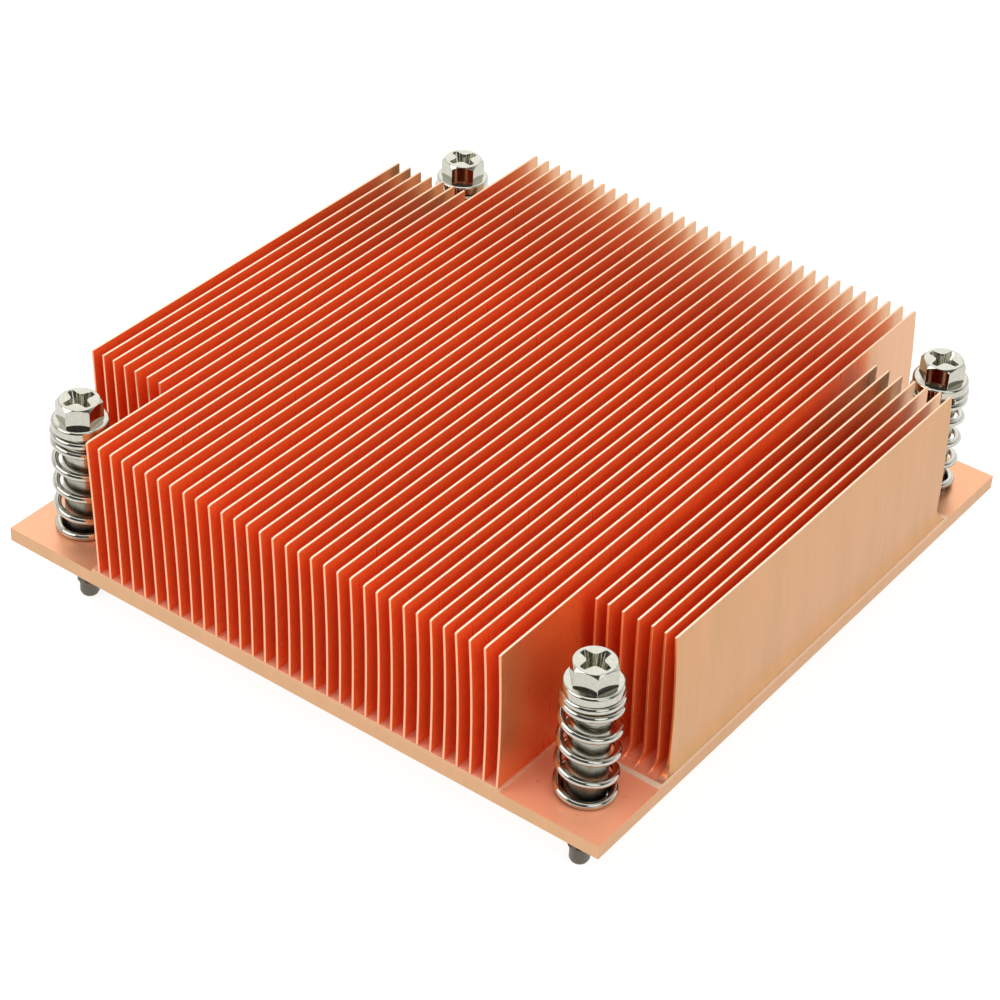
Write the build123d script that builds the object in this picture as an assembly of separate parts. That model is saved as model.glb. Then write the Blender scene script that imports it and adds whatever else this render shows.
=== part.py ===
from build123d import *
from math import cos, pi, radians, sin
import os

# Passive copper heatsink for a server processor: a block of skived fins on a square
# plate, held down by four captive spring screws.
# Millimetres. +X runs across the fins, +Y along them towards the rear and +Z up.
# The origin is the centre of the plate's underside, the face that meets the processor.

# Screw pattern and plate
screw_spacing_x = 75.0
screw_spacing_y = 75.0
plate_margin_x = 6.5      # screw axis to the plate's edge
plate_margin_y = 6.5
floor_height = 2.35       # underside to the floor between the fins
pocket_depth = 0.45       # how far the corner pockets are milled into that floor
screw_hole_diameter = 5.3

# Fins, skived out of the plate, so they lean and bow a little
fin_height = 18.75        # above the floor between the fins
fin_thickness = 0.3
fin_pitch = 1.855
first_fin_margin = 1.24   # left edge of the plate to the top of the first fin
last_fin_margin = 0.8     # least distance from the last fin's top to the right edge
split_gap = 2.5           # pitch across the right-hand pockets' wall
right_pitch = 1.823       # pitch of the short fins on the right
last_gap = 1.37           # pitch of the last fin of all
fin_lean = 0.55           # tops stand this far to the left of the roots
left_bow = 0.04           # bulge to the right at half height, first fin
right_bow = 0.28          # the same, last fin
tip_round_length = 0.5    # rounded top corners of the full-depth fins
tip_round_drop = 0.15

# Corner pockets round the screws
pocket_room_side = 2.4    # between a spring and a full-depth fin
pocket_room_front = 4.15  # between a spring and the ends of the short fins
pocket_room_rear = 3.7
left_ledge = 0.55         # floor left standing beside the full-depth fins
right_ledge = 0.3
foot_radius = 1.9         # hollow curve at the foot of the short fins' ends
foot_ledge_front = 0.45   # floor left standing beyond that curve
foot_ledge_rear = 0.1

# Spring screws
shoulder_diameter = 4.9
flange_diameter = 7.05
flange_height = 1.2
flange_chamfer = 0.2      # round the flange's upper edge
hexagon_flats = 5.0
hexagon_height = 2.6
crown_diameter = 4.8      # circle left flat on top of the hexagon
crown_drop = 0.45         # how far the hexagon's corners fall below it
thread_diameter = 3.0
thread_length = 5.4
pilot_diameter = 2.45
pilot_length = 2.4
pilot_round = 0.6
lead_in = 0.5             # cone between the shoulder and the thread
recess_reach = 2.1        # centre of the cross to the end of an arm
recess_width = 1.3
recess_depth = 2.0
recess_taper = 11.0       # degrees
recess_turn = 38.0        # degrees from a corner of the hexagon to an arm

# Springs, wound left-handed
spring_diameter = 7.5
wire_diameter = 0.95
spring_length = 14.8
spring_play = 0.03        # between the flange and the spring's top coil
resting_turns = 0.6       # flat on the plate
rising_turns = 3.85
closing_turns = 1.15      # closer together under the flange
closing_gap = 0.28        # between those coils
seated_turns = 0.25       # flat under the flange
points_per_turn = 16

# Retaining clips, in counterbores in the plate's underside
clip_diameter = 7.3
clip_thickness = 0.6
clip_play = 0.05          # to the recess above it and to the groove's walls
groove_diameter = 3.9
clip_arm = 0.75           # width of the clip's outer ring
clip_lug_width = 1.65
clip_recess_diameter = 8.1
clip_recess_depth = 0.75  # counterbore in the plate's underside that takes the clip
land_length = 0.6         # shoulder left below the groove

# Turn of each screw and of each spring's upper end about its own axis, in degrees
corners = {
    "front_left": {"side": (-1, -1), "screw_turn": 38.0, "spring_turn": 130.0},
    "front_right": {"side": (1, -1), "screw_turn": -48.0, "spring_turn": 215.0},
    "rear_right": {"side": (1, 1), "screw_turn": -45.0, "spring_turn": 330.0},
    "rear_left": {"side": (-1, 1), "screw_turn": 36.0, "spring_turn": 200.0},
}

# Worked out from the sizes above
plate_width = screw_spacing_x + 2 * plate_margin_x
plate_length = screw_spacing_y + 2 * plate_margin_y
fin_top = floor_height + fin_height
pocket_floor = floor_height - pocket_depth
screw_x = screw_spacing_x / 2
screw_y = screw_spacing_y / 2
spring_radius = spring_diameter / 2
flange_underside = pocket_floor + spring_length + spring_play
groove_top = clip_recess_depth
groove_bottom = groove_top - clip_thickness - 2 * clip_play


def screw_place(corner):
    side_x, side_y = corners[corner]["side"]
    return side_x * screw_x, side_y * screw_y


def fin_tops():
    """Centres of the fins' tops along X, and how many of them stand left of the split."""
    wall = screw_x - spring_radius - pocket_room_side
    tops = []
    x = -plate_width / 2 + first_fin_margin
    while fin_right_face(x) < wall:
        tops.append(x)
        x += fin_pitch
    left_count = len(tops)
    x = tops[-1] + split_gap
    while x + last_gap < plate_width / 2 - last_fin_margin:
        tops.append(x)
        x += right_pitch
    tops.append(tops[-1] + last_gap)
    return tops, left_count


def fin_bow(x):
    share = x / plate_width + 0.5
    return left_bow + (right_bow - left_bow) * share


def fin_middle(x):
    """Centre of a fin at half its height, from the centre of its top."""
    return x + fin_lean / 2 + fin_bow(x)


def fin_left_face(x):
    return min(x, x + fin_lean) - fin_thickness / 2


def fin_right_face(x):
    return max(x, fin_middle(x), x + fin_lean) + fin_thickness / 2


def fin_edges(x, y):
    """One fin's section from its root's right corner over the top to its left corner."""
    half = fin_thickness / 2
    root = x + fin_lean
    middle = fin_middle(x)
    half_way = floor_height + fin_height / 2
    right = [(root + half, y, floor_height), (middle + half, y, half_way), (x + half, y, fin_top)]
    left = [(x - half, y, fin_top), (middle - half, y, half_way), (root - half, y, floor_height)]
    return [
        Edge.make_three_point_arc(*right),
        Edge.make_line(right[2], left[0]),
        Edge.make_three_point_arc(*left),
    ]


def finned_block(tops):
    """Plate and fins at full depth, as one section drawn along the fins."""
    y = -plate_length / 2
    corner = (plate_width / 2, y, floor_height)
    edges = []
    for x in reversed(tops):
        fin = fin_edges(x, y)
        edges.append(Edge.make_line(corner, fin[0] @ 0))
        edges.extend(fin)
        corner = fin[-1] @ 1
    outline = [
        (-plate_width / 2, y, floor_height),
        (-plate_width / 2, y, 0),
        (plate_width / 2, y, 0),
        (plate_width / 2, y, floor_height),
    ]
    edges.append(Edge.make_line(corner, outline[0]))
    for start, end in zip(outline[:-1], outline[1:]):
        edges.append(Edge.make_line(start, end))
    section = Face(Wire(edges))
    return extrude(section, amount=plate_length, dir=(0, 1, 0))


def tip_rounding(side):
    """What the rounded top corners of the fins lose, at the front (-1) or the rear (1)."""
    end = side * plate_length / 2
    inner = end - side * tip_round_length
    beyond = end + side * tip_round_length
    above = fin_top + tip_round_drop
    radius = (tip_round_length**2 + tip_round_drop**2) / (2 * tip_round_drop)
    arc_share = tip_round_length / 2
    arc_drop = radius - (radius**2 - arc_share**2) ** 0.5
    x = -plate_width / 2
    arc = Edge.make_three_point_arc(
        (x, inner, fin_top),
        (x, inner + side * arc_share, fin_top - arc_drop),
        (x, end, fin_top - tip_round_drop),
    )
    corner_points = [
        (x, end, fin_top - tip_round_drop),
        (x, beyond, fin_top - tip_round_drop),
        (x, beyond, above),
        (x, inner, above),
        (x, inner, fin_top),
    ]
    lines = [Edge.make_line(a, b) for a, b in zip(corner_points[:-1], corner_points[1:])]
    section = Face(Wire([arc] + lines))
    return extrude(section, amount=plate_width, dir=(1, 0, 0))


def corner_pocket(corner, tops, left_count):
    """The space milled out at a corner of the block, down to the pocket's floor."""
    side_x, side_y = corners[corner]["side"]
    wall = screw_x - spring_radius - pocket_room_side
    full_depth = [x for x in tops[:left_count] if fin_left_face(x) > -wall]
    if side_x > 0:
        inner_x = fin_right_face(full_depth[-1]) + right_ledge
    else:
        inner_x = fin_left_face(full_depth[0]) - left_ledge
    room_y = pocket_room_front if side_y < 0 else pocket_room_rear
    foot_ledge = foot_ledge_front if side_y < 0 else foot_ledge_rear
    outer_x = side_x * (plate_width / 2 + plate_margin_x)
    fin_ends = side_y * (screw_y - spring_radius - room_y)
    foot_end = fin_ends + side_y * foot_radius
    step = foot_end + side_y * foot_ledge
    outer_y = side_y * (plate_length / 2 + plate_margin_y)
    top = fin_top + plate_margin_x
    curve_share = foot_radius * (1 - 0.5**0.5)
    foot = Edge.make_three_point_arc(
        (inner_x, fin_ends, floor_height + foot_radius),
        (inner_x, fin_ends + side_y * curve_share, floor_height + curve_share),
        (inner_x, foot_end, floor_height),
    )
    outline = [
        (inner_x, foot_end, floor_height),
        (inner_x, step, floor_height),
        (inner_x, step, pocket_floor),
        (inner_x, outer_y, pocket_floor),
        (inner_x, outer_y, top),
        (inner_x, fin_ends, top),
        (inner_x, fin_ends, floor_height + foot_radius),
    ]
    lines = [Edge.make_line(a, b) for a, b in zip(outline[:-1], outline[1:])]
    section = Face(Wire([foot] + lines))
    return extrude(section, amount=abs(outer_x - inner_x), dir=(side_x, 0, 0))


def heatsink_body():
    tops, left_count = fin_tops()
    body = finned_block(tops)
    for side in (-1, 1):
        body -= tip_rounding(side)
    for corner in corners:
        x, y = screw_place(corner)
        body -= corner_pocket(corner, tops, left_count)
        body -= Pos(x, y, floor_height / 2) * Cylinder(screw_hole_diameter / 2, 2 * floor_height)
        body -= Pos(x, y, 0) * Cylinder(clip_recess_diameter / 2, 2 * clip_recess_depth)
    return body


def cross_recess(top):
    """The cross that a driver turns: two slots with round ends that narrow downwards."""
    slot = SlotOverall(2 * recess_reach, recess_width)
    recess = None
    for angle in (0, 90):
        arm = Pos(0, 0, top) * Rot(0, 0, recess_turn + angle) * extrude(
            slot, amount=-recess_depth, taper=recess_taper
        )
        recess = arm if recess is None else recess + arm
    return recess


def spring_screw():
    """A screw on the Z axis, at its height on the plate, with a hexagon corner towards +X."""
    flange_top = flange_underside + flange_height
    head_top = flange_top + hexagon_height
    flange_radius = flange_diameter / 2
    shoulder_radius = shoulder_diameter / 2
    corner_radius = hexagon_flats / 3**0.5
    crown_radius = crown_diameter / 2
    land_bottom = groove_bottom - land_length
    thread_top = land_bottom - lead_in
    thread_bottom = thread_top - thread_length
    tip = thread_bottom - pilot_length
    shank_points = [
        (0, tip),
        (pilot_diameter / 2 - pilot_round, tip),
        (pilot_diameter / 2, tip + pilot_round),
        (pilot_diameter / 2, thread_bottom),
        (thread_diameter / 2, thread_bottom + (thread_diameter - pilot_diameter) / 2),
        (thread_diameter / 2, thread_top),
        (shoulder_radius, land_bottom),
        (shoulder_radius, groove_bottom),
        (groove_diameter / 2, groove_bottom),
        (groove_diameter / 2, groove_top),
        (shoulder_radius, groove_top),
        (shoulder_radius, flange_underside),
        (flange_radius, flange_underside),
        (flange_radius, flange_top - flange_chamfer),
        (flange_radius - flange_chamfer, flange_top),
        (0, flange_top),
    ]
    shank = revolve(make_face(Plane.XZ * Polyline(shank_points, close=True)), Axis.Z)
    crown_points = [
        (0, flange_underside),
        (corner_radius, flange_underside),
        (corner_radius, head_top - crown_drop),
        (crown_radius, head_top),
        (0, head_top),
    ]
    crown = revolve(make_face(Plane.XZ * Polyline(crown_points, close=True)), Axis.Z)
    hexagon = extrude(
        Pos(0, 0, flange_underside) * RegularPolygon(corner_radius, 6),
        amount=head_top - flange_underside,
    )
    return shank + (hexagon & crown) - cross_recess(head_top)


def wire_height(turns):
    """Height of the wire's centre above the pocket's floor, so many turns up from its end."""
    wire_radius = wire_diameter / 2
    closing_pitch = wire_diameter + closing_gap
    closing_start = spring_length - wire_radius - closing_turns * closing_pitch
    rising_pitch = (closing_start - wire_radius) / rising_turns
    if turns < resting_turns:
        return wire_radius
    if turns < resting_turns + rising_turns:
        return wire_radius + (turns - resting_turns) * rising_pitch
    if turns < resting_turns + rising_turns + closing_turns:
        return closing_start + (turns - resting_turns - rising_turns) * closing_pitch
    return spring_length - wire_radius


def spring(upper_end):
    """A left-hand spring on the Z axis whose wire ends at the given bearing at the top."""
    coil_radius = (spring_diameter - wire_diameter) / 2
    turns = resting_turns + rising_turns + closing_turns + seated_turns
    steps = round(turns * points_per_turn)
    path_points = []
    for step in range(steps + 1):
        turned = turns * step / steps
        angle = radians(upper_end) + 2 * pi * (turns - turned)
        path_points.append(
            (coil_radius * cos(angle), coil_radius * sin(angle), pocket_floor + wire_height(turned))
        )
    path = Edge.make_spline(path_points)
    section = Plane(origin=path @ 0, z_dir=path % 0) * Circle(wire_diameter / 2)
    return sweep(section, path=path, is_frenet=True)


def retaining_clip():
    """An E-shaped clip on the Z axis, open towards -Y, with three lugs in the groove."""
    outer = clip_diameter / 2
    bore = groove_diameter / 2 + clip_play
    ring = Circle(outer) - Circle(bore)
    mouth = Pos(0, -outer) * Rectangle(2 * bore, 2 * outer)
    relief = Circle(outer - clip_arm) - Circle(bore)
    lugs = Pos(0, outer / 2) * Rectangle(clip_lug_width, outer)
    lugs += Rectangle(2 * outer, clip_lug_width)
    face = ring - mouth - (relief - lugs)
    return extrude(Pos(0, 0, groove_bottom + clip_play) * face, amount=clip_thickness)


def write_parts():
    os.makedirs("parts", exist_ok=True)
    export_step(heatsink_body(), "parts/heatsink_body.step")
    screw = spring_screw()
    clip = retaining_clip()
    for corner, turned in corners.items():
        x, y = screw_place(corner)
        place = Pos(x, y, 0)
        export_step(
            place * Rot(0, 0, turned["screw_turn"]) * screw, f"parts/spring_screw_{corner}.step"
        )
        export_step(place * spring(turned["spring_turn"]), f"parts/spring_{corner}.step")
        export_step(place * clip, f"parts/retaining_clip_{corner}.step")


write_parts()
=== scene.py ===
import random
from math import cos, exp, pi, radians, sin

import bmesh
import bpy
from mathutils import Matrix, Quaternion, Vector


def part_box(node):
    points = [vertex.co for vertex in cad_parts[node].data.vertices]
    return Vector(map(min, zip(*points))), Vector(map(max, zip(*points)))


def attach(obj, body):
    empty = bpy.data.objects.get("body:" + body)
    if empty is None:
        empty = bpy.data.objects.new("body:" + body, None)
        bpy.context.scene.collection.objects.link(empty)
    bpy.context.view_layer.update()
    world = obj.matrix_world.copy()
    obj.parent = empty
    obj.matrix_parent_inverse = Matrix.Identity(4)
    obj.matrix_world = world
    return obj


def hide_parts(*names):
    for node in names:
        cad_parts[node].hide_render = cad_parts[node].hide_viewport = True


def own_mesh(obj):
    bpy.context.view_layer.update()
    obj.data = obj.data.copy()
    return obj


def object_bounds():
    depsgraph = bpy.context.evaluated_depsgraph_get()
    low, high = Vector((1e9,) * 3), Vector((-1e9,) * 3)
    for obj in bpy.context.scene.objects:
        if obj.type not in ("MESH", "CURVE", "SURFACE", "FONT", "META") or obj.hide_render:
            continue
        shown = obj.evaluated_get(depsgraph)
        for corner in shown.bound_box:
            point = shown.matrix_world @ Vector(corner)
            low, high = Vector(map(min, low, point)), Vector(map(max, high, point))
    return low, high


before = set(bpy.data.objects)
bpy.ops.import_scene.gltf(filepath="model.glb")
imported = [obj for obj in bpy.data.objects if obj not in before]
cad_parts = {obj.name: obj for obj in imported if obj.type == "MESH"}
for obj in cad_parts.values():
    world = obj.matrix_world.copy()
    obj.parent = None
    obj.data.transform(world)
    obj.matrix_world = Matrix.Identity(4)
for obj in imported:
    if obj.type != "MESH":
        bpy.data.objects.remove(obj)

mm = 0.001
tiny = 1e-6                     # metres, for merging and comparing
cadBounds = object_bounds()
corners = ("front_left", "front_right", "rear_right", "rear_left")
bodyLow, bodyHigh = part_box("heatsink_body")


# Mesh helpers

def newPiece(bm, name):
    mesh = bpy.data.meshes.new(name)
    bm.to_mesh(mesh)
    bm.free()
    piece = bpy.data.objects.new(name, mesh)
    bpy.context.scene.collection.objects.link(piece)
    return piece


def applyModifiers(piece):
    bpy.context.view_layer.update()
    seen = piece.evaluated_get(bpy.context.evaluated_depsgraph_get())
    mesh = bpy.data.meshes.new_from_object(seen)
    rough = piece.data
    piece.modifiers.clear()
    piece.data = mesh
    bpy.data.meshes.remove(rough)


def carve(piece, toolMesh, operation="DIFFERENCE"):
    # cuts the tool out of the piece, or joins or trims it, and throws the tool away
    tool = newPiece(toolMesh, "carvingTool")
    carving = piece.modifiers.new("carving", "BOOLEAN")
    carving.operation = operation
    carving.solver = "EXACT"
    carving.object = tool
    applyModifiers(piece)
    bpy.data.objects.remove(tool)


def roundEdges(piece, width, segments=2, angle=35):
    rounding = piece.modifiers.new("rounding", "BEVEL")
    rounding.width = width
    rounding.segments = segments
    rounding.limit_method = "ANGLE"
    rounding.angle_limit = radians(angle)
    rounding.use_clamp_overlap = True
    applyModifiers(piece)


def shade(piece, sharpAngle=50):
    piece.data.shade_smooth()
    piece.data.set_sharp_from_angle(angle=radians(sharpAngle))
    weighting = piece.modifiers.new("weighting", "WEIGHTED_NORMAL")
    weighting.keep_sharp = True
    applyModifiers(piece)


def turned(outline, steps=64):
    # a solid of revolution about Z from (radius, height) in millimetres, from axis to axis
    bm = bmesh.new()
    verts = [bm.verts.new((radius * mm, 0, height * mm)) for radius, height in outline]
    edges = [bm.edges.new(pair) for pair in zip(verts[:-1], verts[1:])]
    bmesh.ops.spin(bm, geom=verts + edges, cent=(0, 0, 0), axis=(0, 0, 1), angle=2 * pi,
                   steps=steps, use_merge=True)
    bmesh.ops.remove_doubles(bm, verts=bm.verts, dist=tiny)
    bmesh.ops.recalc_face_normals(bm, faces=bm.faces)
    return bm


def screwAxis(corner):
    low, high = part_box(f"spring_screw_{corner}")
    return Vector(((low.x + high.x) / 2, (low.y + high.y) / 2, 0))


# Copper body: a plate with its fins raised out of it

body = {
    "pocketFloor": 1.9 * mm,
    "finFloor": 2.35 * mm,
    "pocketWalls": {"left": -30.48 * mm, "right": 30.58 * mm, "front": -31.95 * mm, "rear": 32.05 * mm},
    "finEnds": (-29.6 * mm, 30.05 * mm),
    "footRadius": 1.9 * mm,
    "lastFoot": (0.64 * mm, 1.9 * mm, 1.6),     # spread, height and the power of its curve
    "stepSlope": 0.42 * mm,
    "brinkRounding": 0.06 * mm,
    "wallMargin": 0.2 * mm,
    "finThickness": 0.3 * mm,
    "firstFinMargin": 1.24 * mm,
    "finPitch": 1.855 * mm,
    "finsBeforeSplit": 40,
    "splitGap": 2.5 * mm,
    "rightPitch": 1.823 * mm,
    "finsAfterSplit": 6,
    "lastGap": 1.37 * mm,
    "lean": 0.55 * mm,
    "leftBow": 0.04 * mm,
    "rightBow": 0.28 * mm,
    "shortBow": -0.08 * mm,
    "lowRows": (0.12 * mm, 0.35 * mm, 0.75 * mm, 1.3 * mm, 1.9 * mm),
    "highRows": 6,
    "lengthSteps": 24,
    "tipRounding": (0.5 * mm, 0.15 * mm),       # along the fin and down
    "tipSteps": (0.25, 0.6, 1.0),
    "wave": 0.05 * mm,
    "ripples": (2.2, 5.1, 3.0, 0.6),            # two rates, the shift between fins, the second's share
    # number of the fin in the middle of the shift, how many fins it takes in, and its size
    "frontShifts": ((4, 2.6, -0.55 * mm), (12, 5, -0.47 * mm), (36.4, 1, -0.4 * mm),
                    (41.2, 1.4, -0.38 * mm), (45.7, 0.8, -0.25 * mm)),
    "middleShift": (29.5, 4, 0.3 * mm),
    "edgeRounding": 0.045 * mm,
    "sharpEdge": radians(60),
    # the holes' sizes are in millimetres, as a turned outline takes them
    "holeRadius": 2.65,
    "recessRadius": 4.05,
    "recessDepth": 0.75,
    "holeFlare": 0.08,
    "darkestFin": 0.86,
}


def finRoots():
    tops = [bodyLow.x + body["firstFinMargin"] + body["finPitch"] * i
            for i in range(body["finsBeforeSplit"])]
    tops += [tops[-1] + body["splitGap"] + body["rightPitch"] * i for i in range(body["finsAfterSplit"])]
    tops.append(tops[-1] + body["lastGap"])
    return [x + body["lean"] for x in tops]


def sliceFaces(bm, geom, places, axis):
    for place in places:
        cut = bmesh.ops.bisect_plane(bm, geom=geom, dist=tiny, plane_co=axis * place, plane_no=axis)
        geom = cut["geom"]
    return geom


def facesAt(bm, height):
    return [face for face in bm.faces
            if face.normal.z > 0.9 and abs(face.calc_center_median().z - height) < tiny]


def withEdges(faces):
    # each part once and in a fixed order, so that every run makes the same mesh
    edges = dict.fromkeys(edge for face in faces for edge in face.edges)
    verts = dict.fromkeys(vert for face in faces for vert in face.verts)
    return [*verts, *edges, *faces]


def partsOf(grown, kind):
    return [part for part in grown if isinstance(part, kind)]


def raiseFaces(bm, faces, height):
    grown = bmesh.ops.extrude_face_region(bm, geom=faces)["geom"]
    bmesh.ops.translate(bm, vec=(0, 0, height), verts=partsOf(grown, bmesh.types.BMVert))
    return partsOf(grown, bmesh.types.BMFace)


def reachOf(edge):
    # the lowest and the highest corner of the box round an edge
    first, second = (vert.co for vert in edge.verts)
    low = Vector([min(pair) for pair in zip(first, second)])
    high = Vector([max(pair) for pair in zip(first, second)])
    return low, high


def outerSeams(bm, roots):
    # flat edges in the floor outside the first and the last fin
    seams = []
    for edge in bm.edges:
        low, high = reachOf(edge)
        outside = high.x <= roots[0] or low.x >= roots[-1]
        if outside and edge.calc_face_angle(1) < 0.01 and abs(edge.verts[0].co.z - body["finFloor"]) < tiny:
            seams.append(edge)
    return seams


def frontBrinks(bm):
    # upper edges of the step down to the two front pockets
    walls = body["pocketWalls"]
    brinks = []
    for edge in bm.edges:
        low, high = reachOf(edge)
        level = abs(low.z - body["finFloor"]) < tiny and abs(high.z - body["finFloor"]) < tiny
        onWall = abs(low.y - walls["front"]) < tiny and abs(high.y - walls["front"]) < tiny
        nearest = min(abs(vert.co.x) for vert in edge.verts)
        if level and onWall and edge.is_convex and nearest > walls["right"] - body["wallMargin"]:
            brinks.append(edge)
    return brinks


def plateWithFins():
    bm = bmesh.new()
    bmesh.ops.create_cube(bm, size=1)
    width = bodyHigh.x - bodyLow.x
    length = bodyHigh.y - bodyLow.y
    bmesh.ops.scale(bm, vec=(width, length, body["pocketFloor"]), verts=bm.verts)
    bmesh.ops.translate(bm, vec=(0, 0, body["pocketFloor"] / 2), verts=bm.verts)
    bm.normal_update()

    # the middle and the four sides stand a step above the corner pockets
    walls = body["pocketWalls"]
    geom = withEdges(facesAt(bm, body["pocketFloor"]))
    geom = sliceFaces(bm, geom, (walls["left"], walls["right"]), Vector((1, 0, 0)))
    sliceFaces(bm, geom, (walls["front"], walls["rear"]), Vector((0, 1, 0)))
    bm.normal_update()
    standing = []
    for face in facesAt(bm, body["pocketFloor"]):
        middle = face.calc_center_median()
        if walls["left"] < middle.x < walls["right"] or walls["front"] < middle.y < walls["rear"]:
            standing.append(face)
    raiseFaces(bm, standing, body["finFloor"] - body["pocketFloor"])

    # strips of the floor that become fins
    half = body["finThickness"] / 2
    roots = finRoots()
    roundLength = body["tipRounding"][0]
    bm.normal_update()
    geom = withEdges(facesAt(bm, body["finFloor"]))
    sides = [root + side * half for root in roots for side in (-1, 1)]
    geom = sliceFaces(bm, geom, sides, Vector((1, 0, 0)))
    places = [bodyLow.y + length * i / body["lengthSteps"] for i in range(1, body["lengthSteps"])]
    for share in body["tipSteps"]:
        places += [bodyLow.y + share * roundLength, bodyHigh.y - share * roundLength]
    footEnds = [finEnd + side * body["footRadius"] for finEnd, side in zip(body["finEnds"], (-1, 1))]
    sliceFaces(bm, geom, places + footEnds, Vector((0, 1, 0)))
    bm.normal_update()
    strips = []
    for face in facesAt(bm, body["finFloor"]):
        x, y, z = face.calc_center_median()
        fullLength = walls["left"] < x < walls["right"]
        if min(abs(x - root) for root in roots) < half and (fullLength or footEnds[0] < y < footEnds[1]):
            strips.append(face)
    finHeight = bodyHigh.z - body["finFloor"]
    low = body["lowRows"][-1]
    heights = list(body["lowRows"])
    heights += [low + (finHeight - low) * (row + 1) / body["highRows"] for row in range(body["highRows"])]
    for start, end in zip([0] + heights[:-1], heights):
        strips = raiseFaces(bm, strips, end - start)
    bm.normal_update()
    buried = [face for face in bm.faces if face.normal.z < -0.9 and face.calc_center_median().z > tiny]
    bmesh.ops.delete(bm, geom=buried, context="FACES")
    bmesh.ops.dissolve_edges(bm, edges=outerSeams(bm, roots), use_verts=True)
    bmesh.ops.bevel(bm, geom=frontBrinks(bm), offset=body["brinkRounding"], segments=4, profile=0.5,
                    affect="EDGES", clamp_overlap=False, material=-1)
    sharp = [edge for edge in bm.edges if edge.is_convex and edge.calc_face_angle(0) > body["sharpEdge"]]
    bmesh.ops.bevel(bm, geom=sharp, offset=body["edgeRounding"], segments=2, profile=0.5,
                    affect="EDGES", clamp_overlap=False, material=-1)
    return bm, roots


def tipDrop(y):
    # how far a full-depth fin's top corner is rounded down at this place along it
    length, drop = body["tipRounding"]
    past = max(0, abs(y) - (bodyHigh.y - length))
    radius = (length**2 + drop**2) / (2 * drop)
    return radius - (radius**2 - past**2) ** 0.5


def ramp(value, start, end):
    # 0 before start, 1 past end
    share = min(1, max(0, (value - start) / (end - start)))
    return share * share * (3 - 2 * share)


def hollowCurve(radius, height):
    # how far a hollow curve at the foot of a wall stands out from the wall at this height
    below = min(radius, max(0, radius - height))
    return radius - (radius**2 - below**2) ** 0.5


def shapeFeet(bm, roots):
    # the mill leaves a hollow curve at the foot of the short fins and a slope down to the pocket,
    # and the last fin spreads to the plate's edge
    floor = body["finFloor"]
    radius = body["footRadius"]
    spread, spreadHeight, power = body["lastFoot"]
    walls = body["pocketWalls"]
    half = body["finThickness"] / 2
    for vert in bm.verts:
        height = vert.co.z - floor
        outside = not walls["left"] < vert.co.x < walls["right"]
        for wall, side in ((walls["front"], -1), (walls["rear"], 1)):
            if outside and abs(vert.co.z - body["pocketFloor"]) < tiny and abs(vert.co.y - wall) < tiny:
                vert.co.y += side * body["stepSlope"]
        if height < -tiny:
            continue
        if abs(vert.co.x - roots[-1] - half) < body["edgeRounding"] + tiny:
            vert.co.x += spread * max(0, 1 - height / spreadHeight) ** power
        if height < tiny or not outside:
            continue
        for finEnd, side in zip(body["finEnds"], (-1, 1)):
            if side * (vert.co.y - finEnd) > radius - 2 * body["edgeRounding"]:
                vert.co.y -= side * (radius - hollowCurve(radius, height))


def bell(value, middle, width):
    return exp(-((value - middle) / width) ** 2)


def topShift(index, y):
    # how far the top of a fin stands out of the regular pitch at this place along it
    front = ramp(-y, 0, bodyHigh.y)
    shift = sum(front * size * bell(index, middle, width) for middle, width, size in body["frontShifts"])
    middle, width, size = body["middleShift"]
    return shift + size * bell(index, middle, width) * (1 - (y / bodyHigh.y) ** 2)


def bendFins(bm, roots):
    # fins lean, bow and wave a little, as skived ones do
    chance = random.Random(7)
    waves = [[chance.uniform(-1, 1) for _ in range(4)] for _ in roots]
    slow, quick, shift, quickShare = body["ripples"]
    floor = body["finFloor"]
    height = bodyHigh.z - floor
    for vert in bm.verts:
        if vert.co.z < floor + tiny:
            continue
        index = min(range(len(roots)), key=lambda i: abs(roots[i] - vert.co.x))
        share = (vert.co.z - floor) / height
        across = roots[index] / (bodyHigh.x - bodyLow.x) + 0.5
        bow = body["leftBow"] + (body["rightBow"] - body["leftBow"]) * across
        if body["finsBeforeSplit"] <= index < len(roots) - 1:
            bow = body["shortBow"]
        wave = waves[index]
        y = vert.co.y / bodyHigh.y
        ripple = wave[0] + wave[1] * sin(slow * y + shift * wave[2])
        ripple += quickShare * wave[2] * sin(quick * y + shift * wave[3])
        vert.co.x += 4 * bow * share * (1 - share) - body["lean"] * share
        vert.co.x += (body["wave"] * ripple + topShift(index, vert.co.y)) * share
        vert.co.z -= tipDrop(vert.co.y) * share


coats = {
    # the first value paints the shade and reflection of copper between the fins as deep red: it is 1
    # between the fins, where copper only sees copper, and 0 where it sees the room; the second paints
    # highlights, 1 on bright cut edges;
    # and the third is 1 where a mill has left the copper matt, and also paints salmon reflection on pocket
    # and channel floors
    "deep": (1, 0, 0),
    "outside": (0, 0, 0),
    "frontPocketFin": (0.4, 0, 0),
    "rearOpening": (0.12, 0, 0),
    "frontRow": (0.4, 0.4, 0),
    "leftPocket": (0.2, 0.1, 0.5),
    "frontPocket": (0.2, 0, 1),
    "rearPocket": (0.14, 0, 0.25),
    "outerLedge": (0, 0.5, 0),
    "shortChannelEnd": (0.3, 0.12, 0.5),
    "channelEnd": (0.25, 0.3, 0.8),
    "frontFinEnd": (0.42, 0, 0),
    "finEnd": (0.25, 0.28, 0),
    "frontFoot": (0.42, 0.05, 0),
    "foot": (0.3, 0.25, 0),
    "finCorner": (0.3, 0.4, 0),
    "finTop": (0, 1, 0),
    "rearFinTop": (0, 0.5, 0),
    "pocketStep": (0, 1, 1),
    "paleHighlight": (0, 1, 0),
    "outerEdge": (0, 0.2, 0),
    "plateFront": (0, 0.15, 0),
}

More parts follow.
